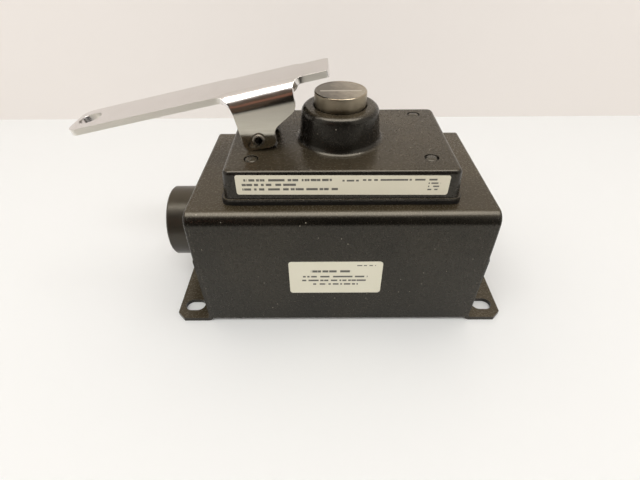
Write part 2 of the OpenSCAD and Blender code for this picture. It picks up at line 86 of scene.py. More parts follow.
# %% Camera
camera_data = bpy.data.cameras.new("camera")
camera_data.sensor_width = 36.0
camera_data.lens = 23.005
camera_data.clip_start = 0.01
camera = bpy.data.objects.new("camera", camera_data)
scene.collection.objects.link(camera)
pitch, yaw, roll = (math.radians(a) for a in (39.951, -0.352, -0.508))
forward = Vector((math.sin(yaw) * math.cos(pitch), math.cos(yaw) * math.cos(pitch),
                  -math.sin(pitch)))
right = Vector((math.cos(yaw), -math.sin(yaw), 0.0))
up = right.cross(forward)
side = right * math.cos(roll) + up * math.sin(roll)
top = up * math.cos(roll) - right * math.sin(roll)
camera.matrix_world = Matrix.Translation(Vector((-9.95, -208.135, 197.248)) * MM) @ Matrix(
    (side, top, -forward)).transposed().to_4x4()
scene.camera = camera
print("camera at", [round(v / MM, 1) for v in camera.location], "mm")

# %% [markdown]
# The part is shown on a pale table in front of a pale wall. One bent sheet would hide the line
# where they meet, so the two are separate planes. Their own colour gives the pale ground, and
# the light stays at a level at which a colour renders about as it is written.

# %% Stage
def object_from(mesh, name):
    data = bpy.data.meshes.new(name)
    mesh.to_mesh(data)
    mesh.free()
    made = bpy.data.objects.new(name, data)
    scene.collection.objects.link(made)
    return made

def new_finish(name):
    finish = bpy.data.materials.new(name + "_finish")
    finish.use_nodes = True
    return finish, finish.node_tree, finish.node_tree.nodes["Principled BSDF"]

def stage_plane(name, corners, colour):
    mesh = bmesh.new()
    mesh.faces.new([mesh.verts.new(c) for c in corners])
    plane = object_from(mesh, name)
    finish, _, shader = new_finish(name)
    shader.inputs["Base Color"].default_value = (*colour, 1.0)
    shader.inputs["Roughness"].default_value = 0.9
    shader.inputs["Specular IOR Level"].default_value = 0.2
    plane.data.materials.append(finish)
    return plane

def lying(x0, x1, y0, y1, z):
    return [(x0, y0, z), (x1, y0, z), (x1, y1, z), (x0, y1, z)]

def upright(x0, x1, y, z0, z1):
    return [(x0, y, z0), (x1, y, z0), (x1, y, z1), (x0, y, z1)]

reach, wall_y = 3, 0.250
table = stage_plane("table", lying(-reach, reach, -reach, wall_y, 0), (0.860, 0.868, 0.864))
wall = stage_plane("wall", upright(-reach, reach, wall_y, 0, reach), (0.868, 0.824, 0.793))
print("stage:", table.name, wall.name)

# %% [markdown]
# Soft studio light: an even world fills the shadows, and two large lamps overhead, aimed at the
# part, give them a direction. Small lamps would give hard shadows, which the table doesn't show.
# The lamps are kept out of reflections, because a card overhead draws those better.

# %% Light
world = bpy.data.worlds.new("studio")
scene.world = world
world.use_nodes = True
background = world.node_tree.nodes["Background"]
background.inputs["Color"].default_value = (1.0, 0.965, 0.915, 1.0)
background.inputs["Strength"].default_value = 0.78

def lamp(name, spot, power):
    data = bpy.data.lights.new(name, "AREA")
    data.shape = "RECTANGLE"
    data.size, data.size_y = 1.3, 0.22
    data.energy = power
    holder = bpy.data.objects.new(name, data)
    scene.collection.objects.link(holder)
    holder.location = spot
    holder.visible_glossy = False
    holder.rotation_euler = (-Vector(spot)).to_track_quat("-Z", "Y").to_euler()

lamp("lamp_back", (0.25, 0.35, 1.25), 2.3)
lamp("lamp_front", (-0.15, -0.55, 1.3), 7.0)
scene.view_settings.view_transform = "Standard"
print("lamps:", len(bpy.data.lights))

# %% [markdown]
# A glossy black paint shows the room around it. In a real studio, cards stand round the part and
# are kept out of the camera's sight. A broad bright one overhead draws the white line on each
# rounded edge. A dark one in front draws the black line below it. On its left side the dark card
# is brown with a warmer strip, for the brown streak in the bright lever. Two small bright squares
# behind put two spots on the button.

# %% Cards
def card(name, corners, colour, glow=0.0):
    made = stage_plane(name, corners, colour)
    made.visible_camera = False
    made.visible_shadow = False
    made.visible_diffuse = False
    shader = made.data.materials[0].node_tree.nodes["Principled BSDF"]
    shader.inputs["Emission Color"].default_value = (*colour, 1.0)
    shader.inputs["Emission Strength"].default_value = glow

card("card_overhead", lying(-0.45, 0.45, -0.25, 0.15, 0.80), (1.0, 0.97, 0.92), 6.0)
card("card_dark_front", upright(-0.48, 0.40, -0.62, 0.0, 1.2), (0.016, 0.014, 0.012))
card("card_brown_front", upright(-0.60, -0.16, -0.615, 0.0, 1.15), (0.11, 0.082, 0.066))
card("card_warm_strip", upright(-0.60, -0.16, -0.61, 0.33, 0.50), (0.30, 0.145, 0.105))
for name, z in (("card_spot_low", 0.206), ("card_spot_high", 0.220)):
    card(name, upright(0.009, 0.016, 0.254, z, z + 0.006), (1.0, 0.98, 0.92), 3.0)

# %% [markdown]
# ## Node helpers
#
# Every material is built from nodes, and setting up a node takes several lines each time. The
# first helpers place any node or node group in one line. An input takes a plain value, or a socket
# of another node, which is then linked to it.

# %% Place a node
def feed(tree, socket, value):
    if isinstance(value, bpy.types.NodeSocket):
        tree.links.new(value, socket)
    else:
        socket.default_value = value

def place(tree, kind, links=None, **settings):
    made = tree.nodes.new("ShaderNode" + kind)
    for key, value in settings.items():
        setattr(made, key, value)
    for key, value in (links or {}).items():
        feed(tree, made.inputs[key], value)
    return made

def place_group(tree, group, **values):
    made = place(tree, "Group", node_tree=group)
    for key, value in values.items():
        feed(tree, made.inputs[key.replace("_", " ").capitalize()], value)
    return made.outputs

print("node helpers:", place.__name__, place_group.__name__)

# %% [markdown]
# The other helpers give back a socket, so one can be written inside the next: the place on the
# object, the true normal, the three parts of a vector, one step of arithmetic, a ramp from one
# range of values to another, a noise, and a mix of two colours.

# %% Sockets in one line
def object_place(tree):
    return place(tree, "TexCoord").outputs["Object"]

def true_normal(tree):
    return place(tree, "NewGeometry").outputs["Normal"]

def axes(tree, vector):
    return place(tree, "SeparateXYZ", {"Vector": vector}).outputs

def maths(tree, operation, first, second=None, clamp=False):
    links = {0: first} if second is None else {0: first, 1: second}
    return place(tree, "Math", links, operation=operation, use_clamp=clamp).outputs[0]

def ramp(tree, value, start, end, low=0.0, high=1.0):
    return place(tree, "MapRange", {"Value": value, "From Min": start, "From Max": end,
                                    "To Min": low, "To Max": high}).outputs[0]

def noise(tree, scale, detail=2.0, where=None):
    spot = object_place(tree) if where is None else where
    return place(tree, "TexNoise", {"Vector": spot, "Scale": scale,
                                    "Detail": detail}).outputs["Fac"]

def blend_colour(tree, factor, first, second):
    mix = place(tree, "Mix", {0: factor}, data_type="RGBA")
    for index, value in ((6, first), (7, second)):
        feed(tree, mix.inputs[index], (*value, 1.0) if isinstance(value, tuple) else value)
    return mix.outputs[2]

print("socket helpers:", ", ".join(f.__name__ for f in (axes, maths, ramp, noise, blend_colour)))

# %% [markdown]
# A camera and its holder darken the far front of a real table, and a real wall is dimmer higher
# up. Gloss shows both. Light Path tells a stage material when it is seen in a reflection, and its
# own place along one axis then fades its colour. Straight to the camera both stay pale.

# %% Table and wall in reflections
def fade_in_gloss(plane, axis, start, end, colour):
    tree = plane.data.materials[0].node_tree
    base = tree.nodes["Principled BSDF"].inputs["Base Color"]
    in_gloss = place(tree, "LightPath").outputs["Is Glossy Ray"]
    shade = maths(tree, "MULTIPLY", in_gloss,
                  ramp(tree, axes(tree, object_place(tree))[axis], start, end))
    tree.links.new(blend_colour(tree, shade, tuple(base.default_value[:3]), colour), base)
    print(plane.name, "fades along", axis, "from", start, "to", end)

fade_in_gloss(table, "Y", -0.23, -0.44, (0.03, 0.027, 0.024))
fade_in_gloss(wall, "Z", 0.10, 0.24, (0.70, 0.655, 0.61))

# %% [markdown]
# ## Shared effects
#
# Several finishes need the same few effects: a soft edge with a fine grain, paint rubbed off along
# the outer edges, dust that lies on faces turned up, a thin film, and drawn lines. Each is a node
# group with named inputs, so a finish places it with its own values. One helper opens a group.
#
# A moulded, cast or painted edge is never knife sharp. The Bevel node bends the normals near an
# edge as if it were round, and the bump for the grain starts from that normal. The edge's radius,
# the size of the grain and its depth are the group's inputs, all in metres or per metre.

# %% Group: soft skin
def open_group(name, inputs, outputs):
    tree = bpy.data.node_groups.new(name, "ShaderNodeTree")
    for title, start in inputs:
        tree.interface.new_socket(name=title, in_out="INPUT",
                                  socket_type="NodeSocketFloat").default_value = start
    for title, kind in outputs:
        tree.interface.new_socket(name=title, in_out="OUTPUT", socket_type="NodeSocket" + kind)
    return tree, tree.nodes.new("NodeGroupInput").outputs, tree.nodes.new("NodeGroupOutput").inputs

skin_group, given, result = open_group(
    "soft_skin", [("Edge", 0.0003), ("Scale", 900.0), ("Depth", 0.00002), ("Coarse", 0.3)],
    [("Normal", "Vector"), ("Grain", "Float")])
where = object_place(skin_group)
round_edge = place(skin_group, "Bevel", {"Radius": given["Edge"]}, samples=6)
fine = noise(skin_group, given["Scale"], where=where)
coarse_scale = maths(skin_group, "MULTIPLY", given["Scale"], 0.16)
coarse = noise(skin_group, coarse_scale, where=where)
coarse_part = maths(skin_group, "MULTIPLY", coarse, given["Coarse"])
height = maths(skin_group, "ADD", fine, coarse_part)
bump = place(skin_group, "Bump", {"Strength": 1.0, "Distance": given["Depth"],
                                  "Height": height, "Normal": round_edge.outputs[0]})
skin_group.links.new(bump.outputs[0], result["Normal"])
skin_group.links.new(fine, result["Grain"])
print("group:", skin_group.name)

# %% [markdown]
# Paint and plating rub off first where the part touches other things: on its outer edges. An
# Ambient Occlusion node that looks inside the solid darkens near those edges only, and a noise
# breaks the line up, so the wear looks rubbed and not drawn.

# %% Group: edge wear
wear_group, given, result = open_group(
    "edge_wear", [("Reach", 0.0006), ("Amount", 0.5), ("Scale", 400.0)], [("Mask", "Float")])
hollow = place(wear_group, "AmbientOcclusion", {"Distance": given["Reach"]},
               samples=6, inside=True, only_local=True)
edge = ramp(wear_group, hollow.outputs["AO"], 0.75, 0.35)
torn = ramp(wear_group, noise(wear_group, given["Scale"], 4.0), 0.42, 0.62)
rubbed = maths(wear_group, "MULTIPLY", edge, torn)
mask = maths(wear_group, "MULTIPLY", rubbed, given["Amount"], clamp=True)
wear_group.links.new(mask, result["Mask"])
print("group:", wear_group.name)

# %% [markdown]
# Dust is a scatter of small pale dots. A Voronoi texture gives one point in each cell. Only the
# cells whose random value is high keep their dot, and faces that look up hold more of them.

# %% Group: dust
dust_group, given, result = open_group(
    "dust", [("Scale", 350.0), ("Size", 0.12), ("Share", 0.12)], [("Mask", "Float")])
cells = place(dust_group, "TexVoronoi", {"Vector": object_place(dust_group),
                                         "Scale": given["Scale"]})
dot = maths(dust_group, "LESS_THAN", cells.outputs["Distance"], given["Size"])
chance = place(dust_group, "SeparateColor", {"Color": cells.outputs["Color"]})
kept = maths(dust_group, "LESS_THAN", chance.outputs[0], given["Share"])
upward = axes(dust_group, true_normal(dust_group))["Z"]
settles = ramp(dust_group, upward, -0.2, 0.8, 0.5, 1.0)
dots = maths(dust_group, "MULTIPLY", dot, kept)
dust_group.links.new(maths(dust_group, "MULTIPLY", dots, settles), result["Mask"])
print("group:", dust_group.name)

# %% [markdown]
# Besides the dots, a thin brown film settles on every face that looks up. It is patchy, because
# hands and cloths rub it off, so a soft noise varies it.

# %% Group: settled film
film_group, given, result = open_group("settled_film", [("Amount", 0.2), ("Scale", 30.0)],
                                       [("Mask", "Float")])
level = ramp(film_group, axes(film_group, true_normal(film_group))["Z"], 0.7, 1.0)
varied = ramp(film_group, noise(film_group, given["Scale"], 5.0), 0.3, 0.7, 0.7, 1.2)
thick = maths(film_group, "MULTIPLY", level, varied)
mask = maths(film_group, "MULTIPLY", thick, given["Amount"], clamp=True)
film_group.links.new(mask, result["Mask"])
print("group:", film_group.name)

# %% [markdown]
# Plated and turned steel carries fine lines from the tool. A noise that is squeezed along two
# axes and long along the third gives them. The three stretch inputs choose the direction.

# %% Group: drawn lines
lines_group, given, result = open_group(
    "drawn_lines", [("Along x", 40.0), ("Along y", 900.0), ("Along z", 900.0)],
    [("Mask", "Float")])
stretch = place(lines_group, "CombineXYZ", {"X": given["Along x"], "Y": given["Along y"],
                                            "Z": given["Along z"]})
pulled = place(lines_group, "VectorMath", {0: object_place(lines_group), 1: stretch.outputs[0]},
               operation="MULTIPLY")
lines = noise(lines_group, 1.0, 3.0, where=pulled.outputs[0])
lines_group.links.new(lines, result["Mask"])
print("group:", lines_group.name)

# %% [markdown]
# ## Finishes
#
# Every finish starts as a Principled material. One function per family of surfaces builds it:
# paint over steel or a casting, bare or plated metal, and moulded plastic, rubber and fibre. Black
# paint is first: two near blacks in soft patches, then film, rubbed edges and dust over them.

# %% Painted surfaces
finishes = {}
film_brown, rubbed_grey, dust_pale = (0.17, 0.132, 0.078), (0.16, 0.145, 0.12), (0.34, 0.31, 0.25)
warm_gloss = (1.0, 0.94, 0.82, 1.0)

def painted(name, colour, light, roughness, gloss, edge, scale, depth, wear, dust_share, film):
    finish, tree, shader = new_finish(name)
    skin = place_group(tree, skin_group, edge=edge, scale=scale, depth=depth)
    worn = place_group(tree, wear_group, reach=0.0007, amount=wear, scale=500.0)
    dust = place_group(tree, dust_group, scale=330.0, size=0.10, share=dust_share)
    settled = place_group(tree, film_group, amount=film, scale=30.0)
    patch = ramp(tree, noise(tree, 36.0, 4.0), 0.35, 0.65)
    toned = blend_colour(tree, patch, colour, light)
    filmed = blend_colour(tree, settled["Mask"], toned, film_brown)
    rubbed = blend_colour(tree, worn["Mask"], filmed, rubbed_grey)
    dusty = blend_colour(tree, dust["Mask"], rubbed, dust_pale)
    tree.links.new(dusty, shader.inputs["Base Color"])
    rough = ramp(tree, skin["Grain"], 0.3, 0.7, roughness - 0.03, roughness + 0.05)
    tree.links.new(rough, shader.inputs["Roughness"])
    shader.inputs["Specular IOR Level"].default_value = gloss
    shader.inputs["Specular Tint"].default_value = warm_gloss
    tree.links.new(skin["Normal"], shader.inputs["Normal"])
    finishes[name] = finish

painted("box_paint", (0.0042, 0.0035, 0.0026), (0.0100, 0.0082, 0.0056), roughness=0.25, gloss=0.50,
        edge=0.00001, scale=1000.0, depth=0.000005, wear=0.50, dust_share=0.14, film=0.32)
painted("hub_paint", (0.0130, 0.0100, 0.0068), (0.0220, 0.0175, 0.0120), roughness=0.32, gloss=0.60,
        edge=0.0004, scale=900.0, depth=0.000014, wear=0.25, dust_share=0.06, film=0.22)
painted("cover_paint", (0.0065, 0.0055, 0.0045), (0.0095, 0.0080, 0.0062), roughness=0.25,
        gloss=0.46, edge=0.0006, scale=600.0, depth=0.000002, wear=0.25, dust_share=0.14, film=0.24)
painted("dark_screw", (0.020, 0.018, 0.014), (0.032, 0.028, 0.021), roughness=0.26, gloss=0.62,
        edge=0.0003, scale=900.0, depth=0.000010, wear=0.40, dust_share=0.05, film=0.20)
print("painted finishes:", sorted(finishes))

# %% [markdown]
# Metal has no colour under its shine: the shine itself is coloured. So Metallic is 1, the Base
# Color is the tint of the reflection, and dull patches and drawn lines vary tint and roughness. A
# glossy grey paint would be simpler, but it would look like plastic.

# %% Metals
def metal(name, colour, dull, roughness, edge=0.0003, along=(900.0, 900.0, 900.0), depth=0.000004,
          mottle=0.3, dust_share=0.0):
    finish, tree, shader = new_finish(name)
    skin = place_group(tree, skin_group, edge=edge, scale=2200.0, depth=depth)
    lines = place_group(tree, lines_group, along_x=along[0], along_y=along[1], along_z=along[2])
    mottled = ramp(tree, noise(tree, 90.0, 6.0), 0.45, 0.75, 0.0, mottle)
    toned = blend_colour(tree, mottled, colour, dull)
    if dust_share:
        dust = place_group(tree, dust_group, scale=420.0, size=0.11, share=dust_share)
        toned = blend_colour(tree, dust["Mask"], toned, (0.80, 0.78, 0.72))
    tree.links.new(toned, shader.inputs["Base Color"])
    rough = ramp(tree, lines["Mask"], 0.35, 0.65, roughness * 0.75, roughness * 1.3)
    tree.links.new(rough, shader.inputs["Roughness"])
    shader.inputs["Metallic"].default_value = 1.0
    tree.links.new(skin["Normal"], shader.inputs["Normal"])
    finishes[name] = finish

metal("lever_chrome", (0.80, 0.775, 0.77), (0.62, 0.59, 0.54), 0.13, edge=0.0003,
      along=(60.0, 700.0, 700.0), depth=0.000006, mottle=0.2, dust_share=0.30)
metal("button_nickel", (0.46, 0.40, 0.30), (0.28, 0.22, 0.15), 0.11, edge=0.0004,
      along=(700.0, 700.0, 60.0), depth=0.000002, mottle=0.6, dust_share=0.10)
metal("pin_steel", (0.26, 0.235, 0.195), (0.09, 0.08, 0.065), 0.33, mottle=0.8)
for name, colour, dull, roughness in (
        ("plain_steel", (0.55, 0.54, 0.52), (0.38, 0.36, 0.33), 0.28),
        ("spring_steel", (0.45, 0.45, 0.46), (0.30, 0.29, 0.28), 0.25),
        ("ring_steel", (0.30, 0.29, 0.28), (0.18, 0.17, 0.16), 0.35),
        ("zinc_steel", (0.60, 0.60, 0.58), (0.48, 0.46, 0.40), 0.32),
        ("bronze", (0.52, 0.33, 0.16), (0.34, 0.20, 0.09), 0.35),
        ("terminal_brass", (0.72, 0.54, 0.25), (0.48, 0.33, 0.13), 0.28),
        ("ground_brass", (0.66, 0.52, 0.24), (0.42, 0.30, 0.12), 0.33),
        ("contact_copper", (0.72, 0.40, 0.26), (0.45, 0.24, 0.15), 0.32)):
    metal(name, colour, dull, roughness)
print("finishes so far:", len(finishes))

# %% [markdown]
# Plastic, rubber and fibre are even and rather dull. They share one recipe: two close tones mixed
# by a soft noise, and a fine grain in the bump. Their colours tell them apart inside the box.

# %% Moulded, rubber and fibre surfaces
def moulded(name, colour, light, roughness, scale, depth, gloss=0.5, edge=0.0003):
    finish, tree, shader = new_finish(name)
    skin = place_group(tree, skin_group, edge=edge, scale=scale, depth=depth)
    toned = blend_colour(tree, noise(tree, scale * 0.12, 4.0), colour, light)
    tree.links.new(toned, shader.inputs["Base Color"])
    rough = ramp(tree, skin["Grain"], 0.3, 0.7, roughness - 0.05, roughness + 0.05)
    tree.links.new(rough, shader.inputs["Roughness"])
    shader.inputs["Specular IOR Level"].default_value = gloss
    tree.links.new(skin["Normal"], shader.inputs["Normal"])
    finishes[name] = finish

for name, colour, light, roughness, scale, depth, gloss in (
        ("gasket_rubber", (0.010, 0.009, 0.008), (0.018, 0.016, 0.014), 0.62, 900.0, 0.00005, 0.35),
        ("seal_rubber", (0.012, 0.012, 0.012), (0.020, 0.020, 0.019), 0.5, 900.0, 0.00003, 0.4),
        ("pad_fibre", (0.30, 0.10, 0.05), (0.42, 0.17, 0.09), 0.6, 1600.0, 0.00004, 0.4),
        ("plate_fibre", (0.36, 0.30, 0.20), (0.48, 0.41, 0.28), 0.6, 1600.0, 0.00004, 0.4),
        ("block_moulding", (0.030, 0.028, 0.026), (0.048, 0.045, 0.042), 0.42, 1000.0, 0.00003,
         0.5),
        ("carrier_moulding", (0.45, 0.07, 0.05), (0.55, 0.10, 0.07), 0.40, 1000.0, 0.00002, 0.5)):
    moulded(name, colour, light, roughness, scale, depth, gloss)
moulded("label_stock", (0.66, 0.63, 0.50), (0.70, 0.67, 0.55), 0.45, 500.0, 0.00001, 0.4, 0.0001)
print("finishes:", len(finishes))

# %% [markdown]
# Each CAD node arrives with a material named after its slot in the record, so the nodes take their
# finishes by that name in one loop.

# %% Dress the CAD nodes
for cad_node in frame["nodes"].values():
    for slot in cad_node.material_slots:
        slot.material = finishes[slot.material.name.split(".")[0]]
print("dressed:", len(frame["nodes"]), "nodes")

# %% [markdown]
# ## The lever
#
# The lever is one stamping: a flat blank with a round rope eye, an arm, two ears and a tongue, its
# ears folded down over the pivot. It could be cut out of a block, but then the folds would meet the
# arm in hard corners. Here it is made as the shop makes it: draw half the flat blank, round its
# corners, do the same for the other half, punch the holes, and fold the ears. The near ear was
# folded over a rounder tool than the far one. Along the arm is x, across it is y. Each corner of
# the outline is written as its x, its y and the radius that rounds it.

# %% Two halves of the flat blank
plate, tilt = 3.2, math.radians(12.04)
pivot_at = Vector((-41.5, 0.0, 103.5))
mid_height, ear_mid_y = 22.0, 15.3
fold_radii = {-1: 6.9, 1: 4.4}
eye_reach, eye_radius, pin_hole_radius = 88.1, 6.25, 3.235
arm_end, ear_back, ear_front, tongue_end = -96.7, -8.6, 22.9, 40.8
arm_half, tongue_half, ear_foot = 12.7, 9.9, -5.2

def flat(way, height):
    radius = fold_radii[way]
    return ear_mid_y - radius + radius * math.pi / 2 + mid_height - radius - height

def half_blank(way):
    foot = flat(way, ear_foot)
    return [(arm_end, arm_half, 6.0), (ear_back, arm_half, 7.5), (ear_back, foot, 3.5),
            (8.4, foot, 4.0), (8.4, flat(way, 3.2), 6.0), (22.4, flat(way, 11.0), 5.0),
            (ear_front, tongue_half, 5.5), (tongue_end, tongue_half, 1.8)]

def round_corners(mesh, corners):
    for vert, radius in corners:
        one, two = (edge.other_vert(vert).co - vert.co for edge in vert.link_edges)
        reach = radius / math.tan(one.angle(two) / 2)
        bmesh.ops.bevel(mesh, geom=[vert], offset=reach, offset_type="OFFSET", segments=10,
                        profile=0.5, affect="VERTICES", material=-1, clamp_overlap=False)

blank = bmesh.new()
for way in (-1, 1):
    corners = half_blank(way)
    outline = [blank.verts.new((arm_end, 0, 0))]
    outline += [blank.verts.new((x, way * y, 0)) for x, y, _ in corners]
    outline.append(blank.verts.new((tongue_end, 0, 0)))
    blank.faces.new(outline)
    round_corners(blank, [(vert, corner[2]) for vert, corner in zip(outline[1:-1], corners)])
bmesh.ops.remove_doubles(blank, verts=blank.verts[:], dist=0.001)
print("blank outline points:", len(blank.verts))

# %% [markdown]
# The shop punches the rope eye and the two pin holes while the blank is flat. Here that could be a
# boolean cut. It is simpler to take the faces away, draw the circles and fill the sheet again
# around them. The line between the two halves goes with the faces.

# %% Punch the holes
def punch(mesh, radius, spot):
    made = bmesh.ops.create_circle(mesh, cap_ends=False, radius=radius, segments=48)
    bmesh.ops.translate(mesh, verts=made["verts"], vec=spot)

middle = [e for e in blank.edges if all(abs(v.co.y) < 0.001 for v in e.verts)]
bmesh.ops.delete(blank, geom=blank.faces[:], context="FACES_ONLY")
bmesh.ops.delete(blank, geom=middle, context="EDGES")
punch(blank, eye_radius, (-eye_reach, 0, 0))
for way in (-1, 1):
    punch(blank, pin_hole_radius, (0, way * flat(way, 0.0), 0))
bmesh.ops.triangle_fill(blank, edges=blank.edges[:], use_beauty=True)
print("punched blank faces:", len(blank.faces))

# %% [markdown]
# The fold runs straight along the ears. At its two ends the sheet has to flow back into the flat
# arm and tongue, which are wider than the fold's start. Real presswork flares there. So the place
# where the fold starts moves outwards over a few millimetres past each end of the ears.

# %% Fold the ears
back_flare, front_flare, arm_start, tongue_start = 8.5, 4.5, 12.8, 10.0

def eased(share):
    share = min(1.0, max(0.0, share))
    return share * share * (3 - 2 * share)

def fold_start_at(way, x):
    start = ear_mid_y - fold_radii[way]
    behind, ahead = eased((ear_back - x) / back_flare), eased((x - ear_front) / front_flare)
    return start + (arm_start - start) * behind + max(0.0, tongue_start - start) * ahead

def score(mesh, spot, direction, **more):
    bmesh.ops.bisect_plane(mesh, geom=mesh.verts[:] + mesh.edges[:] + mesh.faces[:],
                           dist=0.0001, plane_co=spot, plane_no=direction, **more)

for way, radius in fold_radii.items():
    for step in range(15):
        score(blank, (0, way * (ear_mid_y - radius + radius * math.pi * step / 24), 0), (0, 1, 0))
for x in [ear_back - k for k in range(10)] + [ear_front + k for k in range(6)]:
    score(blank, (x, 0, 0), (1, 0, 0))
for vert in blank.verts:
    way = -1 if vert.co.y < 0 else 1
    radius, start = fold_radii[way], fold_start_at(way, vert.co.x)
    past = abs(vert.co.y) - start
    if past > 0:
        turn = min(past / radius, math.pi / 2)
        vert.co.y = way * (start + radius * math.sin(turn))
        vert.co.z = radius * (math.cos(turn) - 1) - max(0, past - radius * math.pi / 2)
bmesh.ops.recalc_face_normals(blank, faces=blank.faces[:])
if max(blank.faces, key=lambda f: f.calc_center_median().z).normal.z < 0:
    bmesh.ops.reverse_faces(blank, faces=blank.faces[:])
print("folded, width over the ears:", round(2 * ear_mid_y + plate, 1), "mm")

# %% [markdown]
# The folded surface is the middle of the sheet. Solidify gives it its thickness on both sides, and
# a bevel rounds the sheared edges. The result is kept as the mesh. Weighted normals then let each
# broad flat face rule the shading, so it mirrors the room without a ripple.

# %% Thicken the sheet and ease its edges
def piece_from(mesh, name, finish, body, node, to_world=Matrix.Identity(4)):
    bmesh.ops.transform(mesh, matrix=Matrix.Scale(MM, 4) @ to_world, verts=mesh.verts[:])
    piece = object_from(mesh, name)
    piece.data.materials.append(finishes[finish])
    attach(piece, body)
    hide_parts(node)
    return piece

def smooth(piece, angle):
    piece.data.shade_smooth()
    piece.data.set_sharp_from_angle(angle=math.radians(angle))

def bake_modifiers(piece):
    view = bpy.context.evaluated_depsgraph_get()
    made = bpy.data.meshes.new_from_object(piece.evaluated_get(view), depsgraph=view)
    piece.modifiers.clear()
    old, piece.data = piece.data, made
    bpy.data.meshes.remove(old)

lever_place = (Matrix.Translation(pivot_at) @ Matrix.Rotation(-tilt, 4, "Y")
               @ Matrix.Translation((0, 0, mid_height)))
lever = piece_from(blank, "lever_stamping", "lever_chrome", "lever", "lever", lever_place)
sheet = lever.modifiers.new("sheet", "SOLIDIFY")
sheet.thickness, sheet.offset, sheet.use_even_offset = plate * MM, 0.0, True
edges = lever.modifiers.new("eased_edges", "BEVEL")
edges.width, edges.segments = 0.45 * MM, 3
edges.limit_method, edges.angle_limit = "ANGLE", math.radians(35.0)
bake_modifiers(lever)
smooth(lever, 40.0)
lever.modifiers.new("flat_faces", "WEIGHTED_NORMAL").keep_sharp = True
print("lever faces:", len(lever.data.polygons))

# %% [markdown]
# The lever's broad faces are bright, but its two kinds of side are not alike. The ears carry a
# darker, duller tint, partly painted shade where they mirror the darker table in front. The sheared
# edges of the arm and the tongue are matt and pale, partly painted highlight where they mirror the
# bright table. Both are told apart by where they lie along x, so one mask serves for the two.

# %% Sheared edges and dull ears, with painted shade and painted highlight
ear_middle_x, ear_half, ear_edge = -0.0365, 0.0165, 0.0190

def reopen(name):
    tree = finishes[name].node_tree
    shader = tree.nodes["Principled BSDF"]
    colour, rough = (shader.inputs[key].links[0].from_socket for key in ("Base Color", "Roughness"))
    return tree, shader, colour, rough

tree, shader, plated, plated_rough = reopen("lever_chrome")
sideways = maths(tree, "ABSOLUTE", axes(tree, true_normal(tree))["Y"])
side_mask = ramp(tree, sideways, 0.75, 1.0)
from_ears = maths(tree, "ADD", axes(tree, object_place(tree))["X"], -ear_middle_x)
sheared = ramp(tree, maths(tree, "ABSOLUTE", from_ears), ear_half, ear_edge)
# painted shade on the ears and painted highlight on the sheared edges, put into the base colour
ear_shade_edge_highlight = blend_colour(tree, sheared, (0.54, 0.51, 0.44), (0.86, 0.83, 0.76))
tree.links.new(blend_colour(tree, side_mask, plated, ear_shade_edge_highlight), shader.inputs["Base Color"])
matt = maths(tree, "MULTIPLY", side_mask, sheared)
rougher = maths(tree, "MULTIPLY", matt, 0.42)
tree.links.new(maths(tree, "ADD", plated_rough, rougher), shader.inputs["Roughness"])
print("lever sides finished")

# %% [markdown]
# ## The conduit hub
#
# The hub is a short turned tube, welded to the box and cut with a pipe thread inside. A cylinder
# with a bumpy finish would show no thread at the mouth. A profile that is spun while it moves
# along its axis gives the real helix: one pitch for each full turn.

# %% Tube and weld
hub_axis = Vector((0, 0, 40.5))
hub_inner_end, hub_length = -75.5, 25.9
thread_wall, thread_end, tube_radius = 16.9, 24.9, 21.3
mouth_bore, mouth_rim, mouth_bevel = 17.7, 20.6, 0.8
spigot_bore, spigot_length = 17.5, 2.5
weld_along, weld_out, weld_leg, weld_from = 5.3, 24.1, 2.8, 21.5
weld_sag, weld_waves = 0.15, ((0.22, 31, 0), (0.12, 13, 1))
quarter_turn = [math.radians(15 * k) for k in range(7)]

def lathe(mesh, points, centre, axis, steps):
    made = [mesh.verts.new(p) for p in points]
    edges = [mesh.edges.new(pair) for pair in zip(made, made[1:])]
    bmesh.ops.spin(mesh, geom=made + edges, cent=centre, axis=axis, dvec=(0, 0, 0),
                   angle=2 * math.pi, steps=steps, use_merge=True, use_duplicate=False)
    bmesh.ops.remove_doubles(mesh, verts=mesh.verts[:], dist=0.0005)

def hub_point(along, radius):
    return (hub_inner_end - along, 0, hub_axis.z + radius)

hub = bmesh.new()
mouth = [hub_point(thread_end, thread_wall), hub_point(hub_length, mouth_bore),
         hub_point(hub_length, mouth_rim), hub_point(hub_length - mouth_bevel, tube_radius)]
weld = [hub_point(weld_along - weld_leg * math.sin(a), weld_out - weld_leg * math.cos(a))
        for a in quarter_turn]
spigot = [hub_point(spigot_length, spigot_bore), hub_point(0, spigot_bore),
          hub_point(0, thread_wall)]
lathe(hub, mouth + weld + spigot, hub_axis, (1, 0, 0), 96)
for vert in hub.verts:
    away = Vector((0, vert.co.y, vert.co.z - hub_axis.z))
    if away.length > weld_from:
        angle = math.atan2(away.y, away.z)
        ripple = sum(size * math.sin(count * angle + turn) for size, count, turn in weld_waves)
        share = min(1, (away.length - weld_from) / 1.2)
        vert.co -= away.normalized() * (weld_sag + ripple) * share
print("hub tube faces:", len(hub.faces))

# %% [markdown]
# A 1 in pipe thread has 11.5 turns to the inch. The profile of one tooth is spun about the hub's
# axis and moves on by one pitch in each turn. It starts before the tube and ends past it, so that
# two cuts can square it off, and flat rings then close it to the tube's wall.

